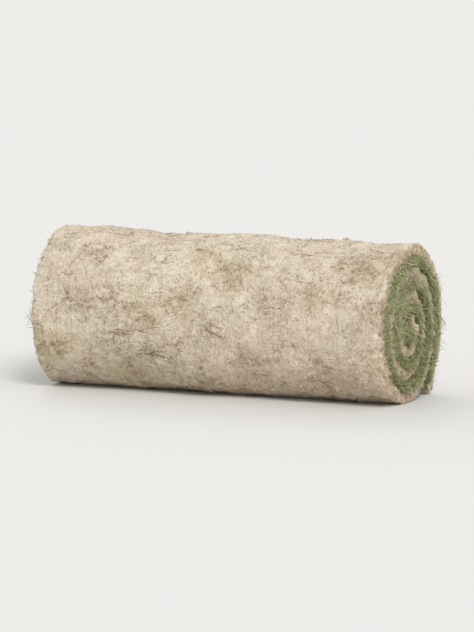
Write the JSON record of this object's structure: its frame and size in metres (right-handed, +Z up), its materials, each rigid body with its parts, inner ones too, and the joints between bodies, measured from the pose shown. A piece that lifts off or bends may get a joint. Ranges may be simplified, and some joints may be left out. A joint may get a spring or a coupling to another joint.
{
  "type": "roll of turf",
  "caption": "Strip of lawn turf rolled up grass side in, lying on its side with the spiral of soil and grass showing on both ends.",
  "frame": {"origin": "on the floor, under the middle of the roll's bounding box", "axes": "+X along the roll, across the strip of turf; +Z up; the strip's outer end touches the floor at +Y"},
  "size_m": [0.61, 0.2721, 0.2581],
  "materials": {
    "soil": "matte",
    "grass": "matte"
  },
  "bodies": {
    "root": {"soil_mat": "soil", "grass": "grass"}
  },
  "joints": []
}
